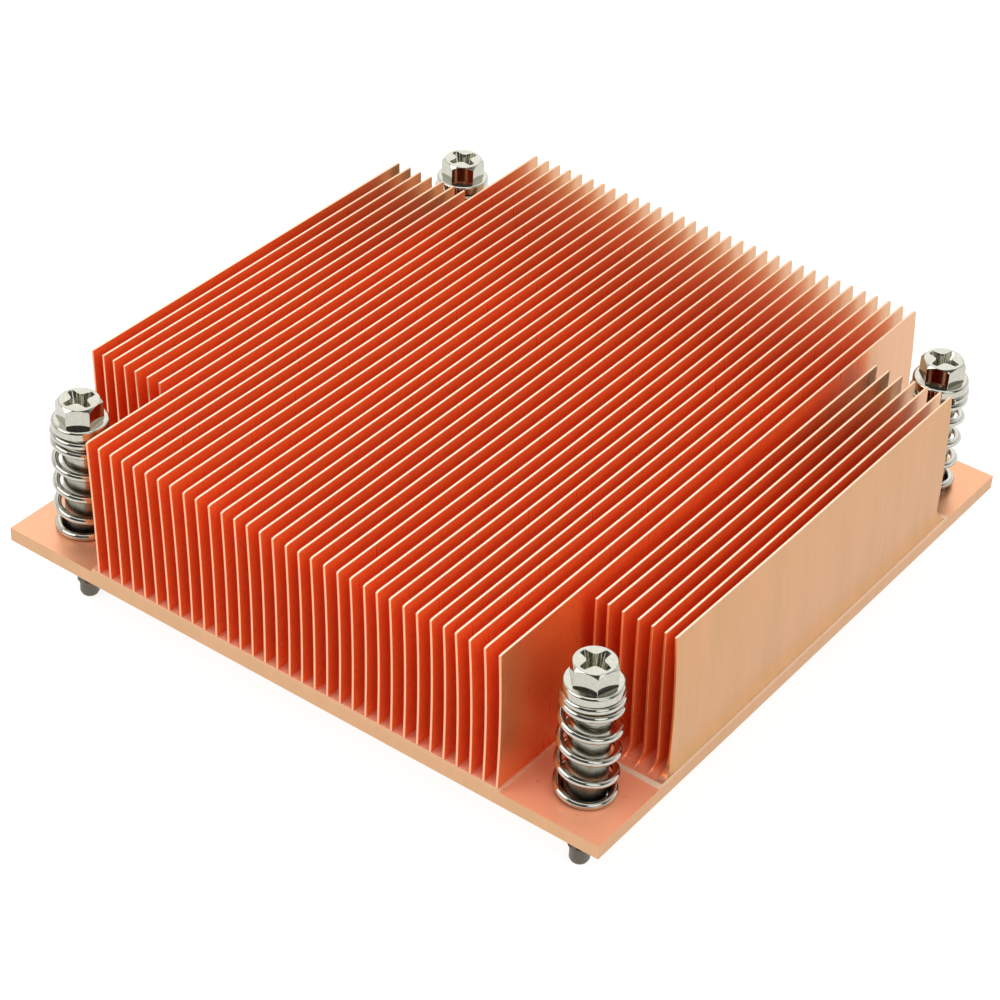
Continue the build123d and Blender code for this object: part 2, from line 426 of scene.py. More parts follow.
zones = {
    # the places, in millimetres from the middle of the underside, that tell the faces apart
    # shares of a normal along an axis: from which a face looks that way, and others of its slopes
    "facing": 0.8,
    "squarely": 0.9,
    "upright": 0.3,
    "sloping": (0.4, 0.2),
    "shortFins": 30.6,
    "lastFins": (-41.5, 42),
    "outerLedges": (-42.3, 43.25),
    "besidePockets": {"left": (-30.6, -29), "right": (29, 30.5)},
    "pocketsFrom": 29.5,
    "rim": 43.9,
    "sidesFrom": 2.4,
    "pocketFloorsBelow": 2.0,
    "floorsBelow": 2.5,
    "frontRowBelow": 2.48,
    "feet": (2.36, 4.4),
    "cornersFrom": 2.45,
    "topsFrom": 10,
    "stepBelow": 2.35,
    "stepInside": 43.5,
    "floorEdgesFrom": 2.2,
    "pocketEdgesFrom": 1.85,
    "plateEdges": (0.1, 1.7),
    # where one coat fades into the next, along the fins
    "frontPocketFade": (30, 44),
    "rearPocketFade": (28, 34),
    "rearFade": (30, 0.5),      # measured from the rear end of the fin
    "rowFade": {"short": (26, 30), "full": (39, 43.5)},
    "channelFade": {"short": (24, 31), "full": (37, 43.5)},
    "topFade": (-10, 38),
}


def faded(share, start, end):
    return [first + (second - first) * share for first, second in zip(start, end)]


def sideCoat(across, along, y, height, normal):
    # side faces of the fins, whose painted shade and reflection of copper fade towards their open ends,
    # where they see more of the room
    left, right = zones["lastFins"]
    if (across > right and normal.x > 0) or (across < left and normal.x < 0):
        return coats["outside"]
    near, far = zones["besidePockets"]["right" if normal.x > 0 else "left"]
    if near < across < far and along < -zones["pocketsFrom"]:
        return faded(ramp(abs(y), *zones["frontPocketFade"]), coats["deep"], coats["frontPocketFin"])
    if near < across < far and along > zones["pocketsFrom"]:
        return faded(ramp(abs(y), *zones["rearPocketFade"]), coats["deep"], coats["rearOpening"])
    shortFin = abs(across) > zones["shortFins"]
    if height < zones["frontRowBelow"] and y < 0:
        openness = ramp(abs(y), *zones["rowFade"]["short" if shortFin else "full"])
        return faded(openness, coats["deep"], coats["frontRow"])
    toRear = (body["finEnds"][1] if shortFin else bodyHigh.y) / mm - y
    start, end = zones["rearFade"]
    openness = min(1, max(0, (start - toRear) / (start - end)))
    return faded(openness, coats["deep"], coats["rearOpening"])


def floorCoat(across, along, y, height):
    # floors of the pockets and of the channels between the fins, with painted shade between the fins and
    # painted salmon reflection on the milled floors
    if height < zones["pocketFloorsBelow"]:
        if across < 0:
            return coats["leftPocket"]
        return coats["frontPocket"] if along < 0 else coats["rearPocket"]
    left, right = zones["outerLedges"]
    if across > right or across < left:
        return coats["outerLedge"]
    if abs(across) > zones["shortFins"]:
        openness = ramp(abs(y), *zones["channelFade"]["short"])
        return faded(openness, coats["deep"], coats["shortChannelEnd"])
    openness = ramp(abs(y), *zones["channelFade"]["full"])
    return faded(openness, coats["deep"], coats["channelEnd"])


def edgeCoat(across, along, y, height, normal):
    # ends, feet and tops of the fins, and the edges and sides of the plate, with painted highlights and
    # painted shade
    facesFront = across > zones["shortFins"] and y < 0
    footLow, footHigh = zones["feet"]
    if abs(normal.y) > zones["facing"] and height > zones["sidesFrom"]:
        return coats["frontFinEnd" if facesFront else "finEnd"]
    if abs(across) > zones["shortFins"] and footLow < height < footHigh:
        return coats["frontFoot" if facesFront else "foot"]
    if height > zones["cornersFrom"] and normal.z < zones["upright"]:
        return coats["frontFoot" if facesFront else "finCorner"]
    if height > zones["topsFrom"]:
        return faded(ramp(y, *zones["topFade"]), coats["finTop"], coats["rearFinTop"])
    slopeAlong, slopeUp = zones["sloping"]
    sloping = abs(normal.y) > slopeAlong and normal.z > slopeUp
    if sloping and height < zones["stepBelow"] and abs(along) < zones["stepInside"]:
        return coats["pocketStep"]
    if height > zones["floorEdgesFrom"]:
        return coats["outerEdge" if abs(along) > zones["rim"] else "paleHighlight"]
    if max(abs(across), abs(along)) < zones["rim"] and height > zones["pocketEdgesFrom"]:
        return coats["paleHighlight"]
    if normal.y < -zones["squarely"]:
        return coats["plateFront"]
    lowEdge, highEdge = zones["plateEdges"]
    rounded = height > highEdge or height < lowEdge and normal.z > -zones["squarely"]
    return coats["outerEdge" if rounded else "outside"]


def surfaceCoat(place, middle, normal):
    y = place.y / mm
    across, along, height = middle / mm
    if abs(normal.x) > zones["facing"] and height > zones["sidesFrom"]:
        return sideCoat(across, along, y, height, normal)
    if normal.z > zones["facing"] and height < zones["floorsBelow"]:
        return floorCoat(across, along, y, height)
    return edgeCoat(across, along, y, height, normal)


def paintSurface(piece, roots):
    chance = random.Random(11)
    tints = [chance.uniform(body["darkestFin"], 1) for _ in roots]
    mesh = piece.data
    # paints shade and reflection between the fins, highlights, and milled floors with painted reflection,
    # at each corner of each face
    painted = {"depth": [], "highlight": [], "milled": []}
    for face in mesh.polygons:
        near = min(range(len(roots)), key=lambda i: abs(roots[i] - face.center.x))
        for loop in face.loop_indices:
            place = mesh.vertices[mesh.loops[loop].vertex_index].co
            depth, highlight, milled = surfaceCoat(place, face.center, face.normal)
            painted["depth"].append(depth * tints[near])
            painted["highlight"].append(highlight)
            painted["milled"].append(milled)
    for name, values in painted.items():
        mesh.attributes.new(name, "FLOAT", "CORNER").data.foreach_set("value", values)


def makeBody():
    bm, roots = plateWithFins()
    shapeFeet(bm, roots)
    bendFins(bm, roots)
    piece = newPiece(bm, "copper_body")
    flare = body["holeFlare"]
    recess, bore = body["recessRadius"], body["holeRadius"]
    floor = body["pocketFloor"] / mm
    for corner in corners:
        hole = turned([
            (0, -1), (recess + flare, -1), (recess + flare, 0), (recess, flare),
            (recess, body["recessDepth"]), (bore, body["recessDepth"]),
            (bore, floor - flare), (bore + flare, floor), (bore + flare, floor + 2), (0, floor + 2)])
        bmesh.ops.translate(hole, vec=screwAxis(corner), verts=hole.verts)
        carve(piece, hole)
    shade(piece)
    paintSurface(piece, roots)
    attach(piece, "root")
    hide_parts("heatsink_body")
    return piece


# Springs, wound left-handed, step by step up from the pocket's floor

spring = {
    "diameter": 7.5 * mm,
    "wire": 0.95 * mm,
    "length": 14.8 * mm,
    "restingTurns": 0.6,
    "risingTurns": 3.85,
    "closingTurns": 1.15,
    "seatedTurns": 0.25,
    "closingPitch": 1.23 * mm,
    "stepsPerTurn": 48,
    "wireSides": 16,
    "softening": 0.07,
    "endRounding": 0.07 * mm,
    "travel": 5 * mm,
    "upperEnd": {"front_left": 130, "front_right": 215, "rear_right": 330, "rear_left": 200},
}


def wireHeight(turns):
    radius = spring["wire"] / 2
    closingStart = spring["length"] - radius - spring["closingTurns"] * spring["closingPitch"]
    rising = spring["risingTurns"]
    resting = spring["restingTurns"]
    if turns < resting:
        return radius
    if turns < resting + rising:
        return radius + (turns - resting) * (closingStart - radius) / rising
    if turns < resting + rising + spring["closingTurns"]:
        return closingStart + (turns - resting - rising) * spring["closingPitch"]
    return spring["length"] - radius


def softHeight(turns):
    # the wire bends gently from one pitch to the next
    around = [turns + share * spring["softening"] for share in (-1, -0.5, 0, 0.5, 1)]
    return sum(wireHeight(place) for place in around) / len(around)


def makeSpring(corner):
    stretches = ("restingTurns", "risingTurns", "closingTurns", "seatedTurns")
    turns = sum(spring[stretch] for stretch in stretches)
    steps = round(turns * spring["stepsPerTurn"])
    stepAngle = -2 * pi * turns / steps
    startAngle = radians(spring["upperEnd"][corner]) + 2 * pi * turns
    axis = screwAxis(corner)
    floor = body["pocketFloor"]

    bm = bmesh.new()
    bmesh.ops.create_circle(bm, cap_ends=True, segments=spring["wireSides"], radius=spring["wire"] / 2)
    bmesh.ops.rotate(bm, cent=(0, 0, 0), matrix=Matrix.Rotation(pi / 2, 3, "X"), verts=bm.verts)
    bmesh.ops.translate(bm, vec=((spring["diameter"] - spring["wire"]) / 2, 0, 0), verts=bm.verts)
    bmesh.ops.rotate(bm, cent=(0, 0, 0), matrix=Matrix.Rotation(startAngle, 3, "Z"), verts=bm.verts)
    bmesh.ops.translate(bm, vec=(0, 0, floor + softHeight(0)), verts=bm.verts)
    ring = list(bm.edges)
    for step in range(steps):
        rise = softHeight(turns * (step + 1) / steps) - softHeight(turns * step / steps)
        grown = bmesh.ops.extrude_edge_only(bm, edges=ring)["geom"]
        verts = partsOf(grown, bmesh.types.BMVert)
        ring = partsOf(grown, bmesh.types.BMEdge)
        bmesh.ops.rotate(bm, cent=(0, 0, 0), matrix=Matrix.Rotation(stepAngle, 3, "Z"), verts=verts)
        bmesh.ops.translate(bm, vec=(0, 0, rise), verts=verts)
    bmesh.ops.edgeloop_fill(bm, edges=ring)
    bmesh.ops.translate(bm, vec=axis, verts=bm.verts)
    bmesh.ops.recalc_face_normals(bm, faces=bm.faces)
    piece = newPiece(bm, f"coil_spring_{corner}")
    roundEdges(piece, spring["endRounding"], angle=60)
    shade(piece, 60)
    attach(piece, "root")
    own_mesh(piece)
    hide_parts(f"spring_{corner}")
    return piece


# Spring screws: a turned shank and flange, a hexagon head, a cross recess and a thread

screw = {
    # in millimetres, and in degrees for the turns
    "flangeUnderside": 16.73,
    "flangeRadius": 3.525,
    "flangeHeight": 1.2,
    "flangeRound": 0.4,
    "flangeChamfer": 0.1,
    "hexagonFlats": 5.0,
    "hexagonHeight": 2.6,
    "crownRadius": 2.4,
    "crownDrop": 0.45,
    "crownSlope": 0.18,
    "crownLip": (0.04, 0.06, 0.03),     # out from the crown's edge, in from it, and down
    "headSink": 0.5,
    "headRounding": 0.1,
    "finishRounding": 0.06,
    "shoulderRadius": 2.45,
    "grooveRadius": 1.95,
    "grooveTop": 0.75,
    "grooveBottom": 0.05,
    "landBottom": -0.55,
    "threadTop": -1.05,
    "threadBottom": -6.45,
    "threadRadius": 1.48,
    "threadRoot": 1.2,
    "threadPitch": 0.5,
    # each turn's outline: the radius, and the share of a turn at which it comes
    "threadTurn": (("threadRoot", 0), ("threadRoot", 0.12), ("threadRadius", 0.5), ("threadRadius", 0.62)),
    "pilotRadius": 1.225,
    "pilotRound": 0.6,
    "pilotPoint": 0.2,
    "pilotStep": (0.02, 0.05),
    "neckDrop": 0.15,
    "tip": -8.85,
    "recessReach": 2.05,
    "recessWidth": 1.24,
    "recessEndWidth": 0.76,
    "recessDepth": 2.0,
    "recessFootShare": 0.62,
    "lobeRounding": 0.42,
    "armRounding": 0.12,
    "recessTurn": 38,
    "turn": {"front_left": 38, "front_right": -48, "rear_right": -45, "rear_left": 36},
    # painted shade on the screw, darker towards the shank's foot and the thread, with more roughness
    "shadeAndDullness": {"shank": 0.6, "foot": 0.38, "footHeights": (3, 6.5), "shankTop": 16, "thread": 0.75},
}


def roundedEdge(radius, top, size, steps=5):
    # points up a quarter round at the upper edge of a disc
    turns = [pi / 2 * step / steps for step in range(steps + 1)]
    return [(radius - size * (1 - cos(turn)), top - size * (1 - sin(turn))) for turn in turns]


def threadedRod():
    pitch = screw["threadPitch"]
    low = screw["threadBottom"] - 2 * pitch
    turns = round((screw["threadTop"] - low) / pitch) + 2
    steps = 36
    bm = bmesh.new()
    verts = []
    for turn in range(turns + 1):
        for radius, share in screw["threadTurn"]:
            verts.append(bm.verts.new((screw[radius] * mm, 0, (low + (turn + share) * pitch) * mm)))
    edges = [bm.edges.new(pair) for pair in zip(verts[:-1], verts[1:])]
    bmesh.ops.spin(bm, geom=verts + edges, cent=(0, 0, 0), axis=(0, 0, 1), angle=2 * pi,
                   steps=steps, dvec=(0, 0, pitch * mm / steps))
    bmesh.ops.remove_doubles(bm, verts=bm.verts, dist=tiny)
    for height, side in ((screw["threadTop"] - 0.1, 1), (screw["threadBottom"], -1)):
        bmesh.ops.bisect_plane(bm, geom=bm.verts[:] + bm.edges[:] + bm.faces[:], dist=tiny / 10,
                               plane_co=(0, 0, height * mm), plane_no=(0, 0, side), clear_outer=True)
    bmesh.ops.holes_fill(bm, edges=[edge for edge in bm.edges if edge.is_boundary])
    bmesh.ops.recalc_face_normals(bm, faces=bm.faces)
    return bm


def crossRecess(headTop):
    # a cross with rounded lobes between its arms, narrower at its foot, out of a grid from -1 to 1
    half = screw["recessWidth"] / 2
    bm = bmesh.new()
    bmesh.ops.create_grid(bm, x_segments=3, y_segments=3, size=1)
    lobes = [face for face in bm.faces if min(map(abs, face.calc_center_median().xy)) > 0.5]
    bmesh.ops.delete(bm, geom=lobes, context="FACES")
    for vert in bm.verts:
        outer = max(abs(vert.co.x), abs(vert.co.y)) > 0.9
        for axis in (0, 1):
            if abs(vert.co[axis]) > 0.9:
                vert.co[axis] *= screw["recessReach"]
            else:
                width = screw["recessEndWidth"] / 2 if outer else half
                vert.co[axis] = width if vert.co[axis] > 0 else -width
    top = list(bm.faces)
    bmesh.ops.translate(bm, vec=(0, 0, 0.01), verts=bm.verts)
    grown = bmesh.ops.extrude_face_region(bm, geom=top)["geom"]
    foot = partsOf(grown, bmesh.types.BMVert)
    share = screw["recessFootShare"]
    bmesh.ops.scale(bm, vec=(share, share, 1), verts=foot)
    bmesh.ops.translate(bm, vec=(0, 0, -screw["recessDepth"]), verts=foot)
    bmesh.ops.recalc_face_normals(bm, faces=bm.faces)
    bm.normal_update()
    upright = [edge for edge in bm.edges if abs(edge.verts[0].co.z - edge.verts[1].co.z) > 1
               and edge.calc_face_angle(0) > 0.3]
    inner = [edge for edge in upright if not edge.is_convex]
    ends = [edge for edge in upright if edge.is_convex]
    bmesh.ops.bevel(bm, geom=inner, offset=screw["lobeRounding"], segments=4, profile=0.5,
                    affect="EDGES", material=-1)
    ends = [edge for edge in ends if edge.is_valid]
    bmesh.ops.bevel(bm, geom=ends, offset=screw["armRounding"], segments=3, profile=0.5,
                    affect="EDGES", material=-1)
    bmesh.ops.translate(bm, vec=(0, 0, headTop), verts=bm.verts)
    bmesh.ops.scale(bm, vec=(mm, mm, mm), verts=bm.verts)
    turn = Matrix.Rotation(radians(screw["recessTurn"]), 3, "Z")
    bmesh.ops.rotate(bm, cent=(0, 0, 0), matrix=turn, verts=bm.verts)
    return bm


def makeScrew():
    flangeTop = screw["flangeUnderside"] + screw["flangeHeight"]
    headTop = flangeTop + screw["hexagonHeight"]
    cornerRadius = screw["hexagonFlats"] / 3**0.5
    flange = screw["flangeRadius"]
    shoulder = screw["shoulderRadius"]
    shank = turned([
        (0, screw["tip"]),
        (screw["pilotRadius"] - screw["pilotRound"], screw["tip"]),
        (screw["pilotRadius"] - screw["pilotPoint"], screw["tip"] + screw["pilotPoint"]),
        (screw["pilotRadius"], screw["tip"] + screw["pilotRound"]),
        (screw["pilotRadius"], screw["threadBottom"] + screw["pilotStep"][0]),
        (screw["threadRoot"], screw["threadBottom"] + screw["pilotStep"][1]),
        (screw["threadRoot"], screw["threadTop"] - screw["neckDrop"]),
        (shoulder, screw["landBottom"]),
        (shoulder, screw["grooveBottom"]),
        (screw["grooveRadius"], screw["grooveBottom"]),
        (screw["grooveRadius"], screw["grooveTop"]),
        (shoulder, screw["grooveTop"]),
        (shoulder, screw["flangeUnderside"]),
        (flange - screw["flangeChamfer"], screw["flangeUnderside"]),
        (flange, screw["flangeUnderside"] + screw["flangeChamfer"]),
        *roundedEdge(flange, flangeTop, screw["flangeRound"]),
        (0, flangeTop),
    ])
    piece = newPiece(shank, "turnedScrew")
    carve(piece, threadedRod(), "UNION")

    hexagon = bmesh.new()
    bmesh.ops.create_circle(hexagon, cap_ends=True, segments=6, radius=cornerRadius * mm)
    bmesh.ops.rotate(hexagon, cent=(0, 0, 0), matrix=Matrix.Rotation(pi / 6, 3, "Z"), verts=hexagon.verts)
    low = (flangeTop - screw["headSink"]) * mm
    bmesh.ops.translate(hexagon, vec=(0, 0, low), verts=hexagon.verts)
    raiseFaces(hexagon, list(hexagon.faces), headTop * mm - low)
    bmesh.ops.recalc_face_normals(hexagon, faces=hexagon.faces)
    head = newPiece(hexagon, "hexagonHead")
    lipOut, lipIn, lipDrop = screw["crownLip"]
    crown = turned([
        (0, flangeTop - 1),
        (cornerRadius + 0.2, flangeTop - 1),
        (cornerRadius + 0.2, headTop - screw["crownDrop"] - screw["crownSlope"]),
        (screw["crownRadius"] + lipOut, headTop - lipDrop),
        (screw["crownRadius"] - lipIn, headTop),
        (0, headTop),
    ])
    carve(head, crown, "INTERSECT")
    roundEdges(head, screw["headRounding"] * mm, segments=4, angle=25)
    headMesh = bmesh.new()
    headMesh.from_mesh(head.data)
    bpy.data.objects.remove(head)
    carve(piece, headMesh, "UNION")
    carve(piece, crossRecess(headTop))
    roundEdges(piece, screw["finishRounding"] * mm)
    return piece


def paintShadeAndDullness(piece, axis):
    # painted shade: the thread under the plate and the shank's foot inside the lowest coils are painted
    # dark and made rougher, the shank less so, and the head is left bright
    shadeSettings = screw["shadeAndDullness"]
    shadeAndDullness = []
    for vert in piece.data.vertices:
        height = vert.co.z / mm
        shank = (vert.co - axis).xy.length < (screw["shoulderRadius"] + 0.1) * mm
        towardsFoot = 1 - ramp(height, *shadeSettings["footHeights"])
        foot = shadeSettings["shank"] + shadeSettings["foot"] * towardsFoot if shank and height < shadeSettings["shankTop"] else 0
        shadeAndDullness.append(max(foot, shadeSettings["thread"] * (1 - ramp(height, 0, 1))))
    piece.data.attributes.new("shadeAndDullness", "FLOAT", "POINT").data.foreach_set("value", shadeAndDullness)


def placeScrew(master, corner):
    bm = bmesh.new()
    bm.from_mesh(master.data)
    bmesh.ops.rotate(bm, cent=(0, 0, 0), verts=bm.verts,
                     matrix=Matrix.Rotation(radians(screw["turn"][corner]), 3, "Z"))
    axis = screwAxis(corner)
    bmesh.ops.translate(bm, vec=axis, verts=bm.verts)
    piece = newPiece(bm, f"captive_screw_{corner}")
    shade(piece, 40)
    paintShadeAndDullness(piece, axis)
    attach(piece, f"screw_{corner}")
    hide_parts(f"spring_screw_{corner}")
    return piece


# Materials

copper = {
    "roomDull": (0.58, 0.32, 0.147),
    "roomWarm": (0.65, 0.34, 0.165),
    # painted shade and reflection of copper between the fins, deepening to red where copper only sees
    # copper
    "inside": (
        (0.08, (0.72, 0.42, 0.24)),
        (0.17, (0.80, 0.42, 0.225)),
        (0.24, (0.93, 0.40, 0.19)),
        (0.31, (1.0, 0.36, 0.15)),
        (0.45, (1.0, 0.28, 0.09)),
        (0.66, (1.0, 0.20, 0.05)),
        (1.0, (1.0, 0.155, 0.032)),
    ),
    "insideOrange": (1.0, 0.22, 0.045),
    "orangeShare": (0, 0.6),
    "insideSpeck": (0.86, 0.13, 0.04),
    "speckShare": (0, 0.7),
    "mottledFrom": (0.4, 1),            # values of the painted shade between the fins, or strengths of the mottling, over which both come in
    # matt milled copper, also painting salmon reflection on pocket and channel floors
    "milled": (1.0, 0.42, 0.235),
    # painted highlight colour of bright edges, fin tops and the pocket step
    "paleHighlight": (0.97, 0.72, 0.52),
    "shade": (0.06, 0.025, 0.02),
    "screwSpacing": 37.5 * mm,
    "shadeRadius": (3.0 * mm, 3.6 * mm),
    "deepMetallic": 0.3,
    "paleMetallic": 0.5,
    "milledMetallic": 0.3,
    "roughness": (0.27, 0.36),
    "insideFrom": (0.02, 0.08),         # values of the painted shade between the fins over which the colour of the outside gives way
    "fineGrain": {"Stretch": (0.3, 1.0, 0.06), "Fineness": 1700.0, "Relief": 0.015},
    "broadGrain": {"Stretch": (1.6, 0.6, 0.1), "Fineness": 330.0, "Relief": 0.0},
}

nickel = {
    "screw": ((0.59, 0.58, 0.505), (0.50, 0.49, 0.415)),
    "screwRoughness": (0.06, 0.12),
    "wire": ((0.60, 0.59, 0.53), (0.50, 0.49, 0.42)),
    "wireRoughness": (0.06, 0.12),
    # painted shade colour of the thread and the shank's foot
    "shadedDulled": (0.13, 0.115, 0.09),
    "clip": ((0.46, 0.44, 0.41), (0.34, 0.32, 0.29)),
    "clipRoughness": (0.28, 0.42),
    "dulledRoughness": 0.3,
    "grain": {"Stretch": (1.0, 1.0, 0.25), "Fineness": 2300.0, "Relief": 0.02},
}


grainLook = {
    "streakDetail": 4.0,
    "spotDetail": 3.0,
    "spotRoughness": 0.6,
    "contrast": (0.3, 0.7),
    "reliefHeight": 0.02 * mm,
}


def addNode(tree, kind, inputs=None, **settings):
    made = tree.nodes.new(kind)
    for name, value in settings.items():
        setattr(made, name, value)
    for name, value in (inputs or {}).items():
        if isinstance(value, bpy.types.NodeSocket):
            tree.links.new(value, made.inputs[name])
        else:
            made.inputs[name].default_value = value
    return made


def newMaterial(name):
    material = bpy.data.materials.new(name)
    material.use_nodes = True
    tree = material.node_tree
    return material, tree, tree.nodes["Principled BSDF"]


def mixColours(tree, factor, low, high):
    made = addNode(tree, "ShaderNodeMix", {0: factor}, data_type="RGBA", blend_type="MIX")
    for slot, colour in ((6, low), (7, high)):
        if isinstance(colour, bpy.types.NodeSocket):
            tree.links.new(colour, made.inputs[slot])
        else:
            made.inputs[slot].default_value = (*colour, 1)
    return made.outputs[2]


def mapped(tree, value, low, high, fromLow=0.0, fromHigh=1.0):
    made = addNode(tree, "ShaderNodeMapRange", {
        "Value": value, "From Min": fromLow, "From Max": fromHigh, "To Min": low, "To Max": high})
    return made.outputs["Result"]


def calculated(tree, operation, first, second):
    return addNode(tree, "ShaderNodeMath", {0: first, 1: second}, operation=operation).outputs[0]


def newGroup(name, inputs, outputs):
    group = bpy.data.node_groups.new(name, "ShaderNodeTree")
    for socket, kind in inputs:
        group.interface.new_socket(socket, in_out="INPUT", socket_type=kind)
    for socket, kind in outputs:
        group.interface.new_socket(socket, in_out="OUTPUT", socket_type=kind)
    return group, group.nodes.new("NodeGroupInput"), group.nodes.new("NodeGroupOutput")


def grainGroup():
    # streaks stretched by Stretch, mottling in every direction, and the bump of both
    group, given, result = newGroup(
        "metal_grain",
        [("Place", "NodeSocketVector"), ("Stretch", "NodeSocketVector"), ("Fineness", "NodeSocketFloat"),
         ("Relief", "NodeSocketFloat")],
        [("Streaks", "NodeSocketFloat"), ("Mottling", "NodeSocketFloat"), ("Normal", "NodeSocketVector")])
    drawn = addNode(group, "ShaderNodeVectorMath",
                    {0: given.outputs["Place"], 1: given.outputs["Stretch"]}, operation="MULTIPLY")
    lines = addNode(group, "ShaderNodeTexNoise",
                    {"Vector": drawn.outputs[0], "Scale": given.outputs["Fineness"],
                     "Detail": grainLook["streakDetail"]})
    spots = addNode(group, "ShaderNodeTexNoise",
                    {"Vector": given.outputs["Place"], "Scale": given.outputs["Fineness"],
                     "Detail": grainLook["spotDetail"], "Roughness": grainLook["spotRoughness"]})
    streaks = mapped(group, lines.outputs[0], 0, 1, *grainLook["contrast"])
    mottling = mapped(group, spots.outputs[0], 0, 1, *grainLook["contrast"])
    relief = calculated(group, "ADD", streaks, mottling)
    bump = addNode(group, "ShaderNodeBump",
                   {"Height": relief, "Strength": given.outputs["Relief"],
                    "Distance": grainLook["reliefHeight"]})
    group.links.new(streaks, result.inputs["Streaks"])
    group.links.new(mottling, result.inputs["Mottling"])
    group.links.new(bump.outputs[0], result.inputs["Normal"])
    return group


def useGroup(tree, group, inputs):
    made = tree.nodes.new("ShaderNodeGroup")
    made.node_tree = group
    for name, value in inputs.items():
        if isinstance(value, bpy.types.NodeSocket):
            tree.links.new(value, made.inputs[name])
        else:
            made.inputs[name].default_value = value
    return made


def shadeGroup():
    # 1 close to the four screw axes and 0 beyond Outer
    group, given, result = newGroup(
        "screw_shade",
        [("Place", "NodeSocketVector"), ("Spacing", "NodeSocketFloat"), ("Inner", "NodeSocketFloat"),
         ("Outer", "NodeSocketFloat")],
        [("Mask", "NodeSocketFloat")])
    folded = addNode(group, "ShaderNodeVectorMath", {0: given.outputs["Place"]}, operation="ABSOLUTE")
    parts = addNode(group, "ShaderNodeSeparateXYZ", {0: folded.outputs[0]})
    squares = []
    for axis in ("X", "Y"):
        away = calculated(group, "SUBTRACT", parts.outputs[axis], given.outputs["Spacing"])
        squares.append(calculated(group, "MULTIPLY", away, away))
    distance = calculated(group, "POWER", calculated(group, "ADD", *squares), 0.5)
    mask = mapped(group, distance, 1, 0, given.outputs["Inner"], given.outputs["Outer"])
    group.links.new(mask, result.inputs["Mask"])
    return group


def attribute(tree, name):
    return addNode(tree, "ShaderNodeAttribute", attribute_name=name).outputs["Fac"]


def colourRamp(tree, value, stops):
    made = addNode(tree, "ShaderNodeValToRGB", {"Fac": value})
    elements = made.color_ramp.elements
    while len(elements) < len(stops):
        elements.new(0.5)
    for element, (place, colour) in zip(elements, stops):
        element.position = place
        element.color = (*colour, 1)
    return made.outputs["Color"]


def copperMaterial(grain, shadeMask):
    material, tree, surface = newMaterial("skived_copper")
    place = addNode(tree, "ShaderNodeTexCoord").outputs["Object"]
    depth, highlight, milled = (attribute(tree, name) for name in ("depth", "highlight", "milled"))
    fine = useGroup(tree, grain, {"Place": place, **copper["fineGrain"]})
    broad = useGroup(tree, grain, {"Place": place, **copper["broadGrain"]})
    shade = useGroup(tree, shadeMask, {
        "Place": place, "Spacing": copper["screwSpacing"], "Inner": copper["shadeRadius"][0],
        "Outer": copper["shadeRadius"][1]})

    room = mixColours(tree, broad.outputs["Streaks"], copper["roomDull"], copper["roomWarm"])
    # the painted shade and reflection of copper between the fins
    inside = colourRamp(tree, depth, copper["inside"])
    mottled = copper["mottledFrom"]
    warmer = mapped(tree, depth, *copper["orangeShare"], *mottled)
    warmer = calculated(tree, "MULTIPLY", warmer, broad.outputs["Mottling"])
    inside = mixColours(tree, warmer, inside, copper["insideOrange"])
    specks = calculated(tree, "MULTIPLY", mapped(tree, depth, *copper["speckShare"], *mottled),
                        mapped(tree, fine.outputs["Mottling"], 0, 1, *mottled))
    inside = mixColours(tree, specks, inside, copper["insideSpeck"])
    colour = mixColours(tree, mapped(tree, depth, 0, 1, *copper["insideFrom"]), room, inside)
    # milled copper, with painted salmon reflection on the pocket and channel floors
    colour = mixColours(tree, milled, colour, copper["milled"])
    # painted highlights
    colour = mixColours(tree, highlight, colour, copper["paleHighlight"])
    colour = mixColours(tree, shade.outputs["Mask"], colour, copper["shade"])
    tree.links.new(colour, surface.inputs["Base Color"])

    metal = mapped(tree, depth, 1, copper["deepMetallic"])
    metal = calculated(tree, "MULTIPLY", metal, mapped(tree, highlight, 1, copper["paleMetallic"]))
    metal = calculated(tree, "MULTIPLY", metal, mapped(tree, milled, 1, copper["milledMetallic"]))
    tree.links.new(metal, surface.inputs["Metallic"])
    tree.links.new(mapped(tree, fine.outputs["Streaks"], *copper["roughness"]), surface.inputs["Roughness"])
    tree.links.new(fine.outputs["Normal"], surface.inputs["Normal"])
    return material


def nickelMaterial(name, grain, colours, roughness, shadedDulled=False):
    material, tree, surface = newMaterial(name)
    place = addNode(tree, "ShaderNodeTexCoord").outputs["Object"]
    fine = useGroup(tree, grain, {"Place": place, **nickel["grain"]})
    colour = mixColours(tree, fine.outputs["Mottling"], *colours)
    rough = mapped(tree, fine.outputs["Streaks"], *roughness)
    if shadedDulled:
        # painted shade on the thread and the shank, with more roughness
        shadeAndDullness = attribute(tree, "shadeAndDullness")
        colour = mixColours(tree, shadeAndDullness, colour, nickel["shadedDulled"])
        rough = calculated(tree, "ADD", rough, mapped(tree, shadeAndDullness, 0, nickel["dulledRoughness"]))
    tree.links.new(colour, surface.inputs["Base Color"])
    tree.links.new(rough, surface.inputs["Roughness"])
    tree.links.new(fine.outputs["Normal"], surface.inputs["Normal"])
    surface.inputs["Metallic"].default_value = 1
    return material


def dress(piece, material):
    piece.data.materials.clear()
    piece.data.materials.append(material)


# Stage, light and camera

